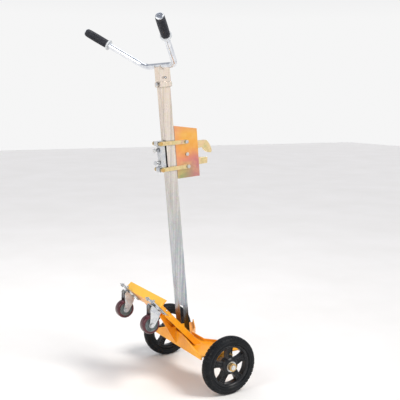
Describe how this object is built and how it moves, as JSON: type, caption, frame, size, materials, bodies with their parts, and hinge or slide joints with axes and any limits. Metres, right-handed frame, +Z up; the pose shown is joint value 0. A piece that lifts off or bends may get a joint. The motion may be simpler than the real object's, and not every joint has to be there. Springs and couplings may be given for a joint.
{
  "type": "drum dolly",
  "caption": "Upright drum dolly that clips a drum by its top rim, wheels it on two large tyres and tips back on to two swivel casters.",
  "frame": {"origin": "on the floor, under the middle of the whole dolly's length and width, with the two main wheels standing on the floor", "axes": "+Z up, +X forwards to the drum that the jaws and cradle hold, +Y to the dolly's left"},
  "size_m": [0.4782, 0.6746, 1.4388],
  "materials": {
    "collar": "moulded pale plastic",
    "orange_paint": "satin powder coat",
    "galvanised": "bright galvanised steel",
    "chrome": "polished chrome plate",
    "bright_zinc": "bright zinc plate",
    "yellow_zinc": "iridescent yellow zinc plate",
    "pale_zinc": "pale yellow zinc plate",
    "tyre": "solid moulded rubber",
    "grip": "ribbed soft rubber",
    "pad": "matt rubber",
    "wheel_plastic": "moulded black plastic",
    "maroon_tread": "cast polyurethane",
    "core_plastic": "moulded grey plastic",
    "brass": "brass"
  },
  "bodies": {
    "frame": {"frame_tongue": "orange_paint", "caster_beam": "orange_paint", "caster_plate_left": "bright_zinc", "caster_kingpin_left": "bright_zinc", "caster_plate_right": "bright_zinc", "caster_kingpin_right": "bright_zinc", "mast_tube": "galvanised", "head_sleeve": "galvanised", "head_bolt": "bright_zinc", "base_tray": "orange_paint", "frame_gusset": "orange_paint", "drum_cradle": "orange_paint", "handlebar": "chrome", "grip_left": "grip", "grip_collar_left": "collar", "bar_plug_left": "bright_zinc", "grip_right": "grip", "grip_collar_right": "collar", "bar_plug_right": "bright_zinc", "axle_bracket_left": "orange_paint", "axle_washer_left": "bright_zinc", "axle_nut_left": "yellow_zinc", "axle_bracket_right": "orange_paint", "axle_washer_right": "bright_zinc", "axle_nut_right": "yellow_zinc", "main_axle": "bright_zinc"},
    "wheel_left": {"tyre_left": "tyre", "wheel_centre_left": "wheel_plastic", "wheel_bearing_left": "bright_zinc", "valve_stem_left": "brass"},
    "swivel_left": {"caster_fork_left": "bright_zinc", "caster_axle_left": "bright_zinc"},
    "caster_wheel_left": {"caster_core_left": "core_plastic", "caster_tread_left": "maroon_tread"},
    "wheel_right": {"tyre_right": "tyre", "wheel_centre_right": "wheel_plastic", "wheel_bearing_right": "bright_zinc", "valve_stem_right": "brass"},
    "swivel_right": {"caster_fork_right": "bright_zinc", "caster_axle_right": "bright_zinc"},
    "caster_wheel_right": {"caster_core_right": "core_plastic", "caster_tread_right": "maroon_tread"},
    "clamp_head": {"clamp_housing": "yellow_zinc", "strap_upper_left": "pale_zinc", "strap_upper_right": "pale_zinc", "clamp_bolt_front_upper": "bright_zinc", "clamp_bolt_rear_upper": "yellow_zinc", "strap_lower_left": "pale_zinc", "strap_lower_right": "pale_zinc", "clamp_bolt_front_lower": "bright_zinc", "clamp_bolt_rear_lower": "yellow_zinc", "clamp_block": "bright_zinc", "clamp_pad": "pad", "clamp_screw_upper": "bright_zinc", "clamp_screw_lower": "bright_zinc", "jaw_pivot_bolt": "bright_zinc", "jaw_spring": "bright_zinc"},
    "button": {"head_button": "bright_zinc"},
    "upper_jaw": {"jaw_upper": "pale_zinc"},
    "lower_jaw": {"jaw_lower": "pale_zinc"}
  },
  "joints": [
    {"name": "wheel_spin_left", "type": "hinge", "parent": "frame", "child": "wheel_left", "pos_m": [0.1221, 0.254, 0.117], "axis": [0, 1, 0], "continuous": true},
    {"name": "wheel_spin_right", "type": "hinge", "parent": "frame", "child": "wheel_right", "pos_m": [0.1221, -0.254, 0.117], "axis": [0, 1, 0], "continuous": true},
    {"name": "caster_swivel_left", "type": "hinge", "parent": "frame", "child": "swivel_left", "pos_m": [-0.13194, 0.117, 0.35428], "axis": [0.7193, 0, 0.6947], "continuous": true},
    {"name": "caster_spin_left", "type": "hinge", "parent": "swivel_left", "child": "caster_wheel_left", "pos_m": [-0.15606, 0.117, 0.28928], "axis": [0, 1, 0], "continuous": true},
    {"name": "caster_swivel_right", "type": "hinge", "parent": "frame", "child": "swivel_right", "pos_m": [-0.13194, -0.117, 0.35428], "axis": [0.7193, 0, 0.6947], "continuous": true},
    {"name": "caster_spin_right", "type": "hinge", "parent": "swivel_right", "child": "caster_wheel_right", "pos_m": [-0.15606, -0.117, 0.28928], "axis": [0, 1, 0], "continuous": true},
    {"name": "clamp_slide", "type": "slide", "parent": "frame", "child": "clamp_head", "axis": [-0.0976, 0, 0.9952], "range_m": [-0.4, 0.12]},
    {"name": "upper_jaw_pivot", "type": "hinge", "parent": "clamp_head", "child": "upper_jaw", "pos_m": [0.05802, 0, 0.93637], "axis": [0, -1, 0], "range_deg": [0, 22], "stiffness_Nm_per_rad": 1.5, "springref_deg": -8.59},
    {"name": "lower_jaw_pivot", "type": "hinge", "parent": "clamp_head", "child": "lower_jaw", "pos_m": [0.0629, 0, 0.88661], "axis": [0, 1, 0], "range_deg": [0, 12], "stiffness_Nm_per_rad": 3, "springref_deg": -8.59},
    {"name": "button_press", "type": "slide", "parent": "frame", "child": "button", "axis": [0, 1, 0], "range_m": [0, 0.003], "stiffness_N_per_m": 400, "springref_m": -0.002}
  ]
}
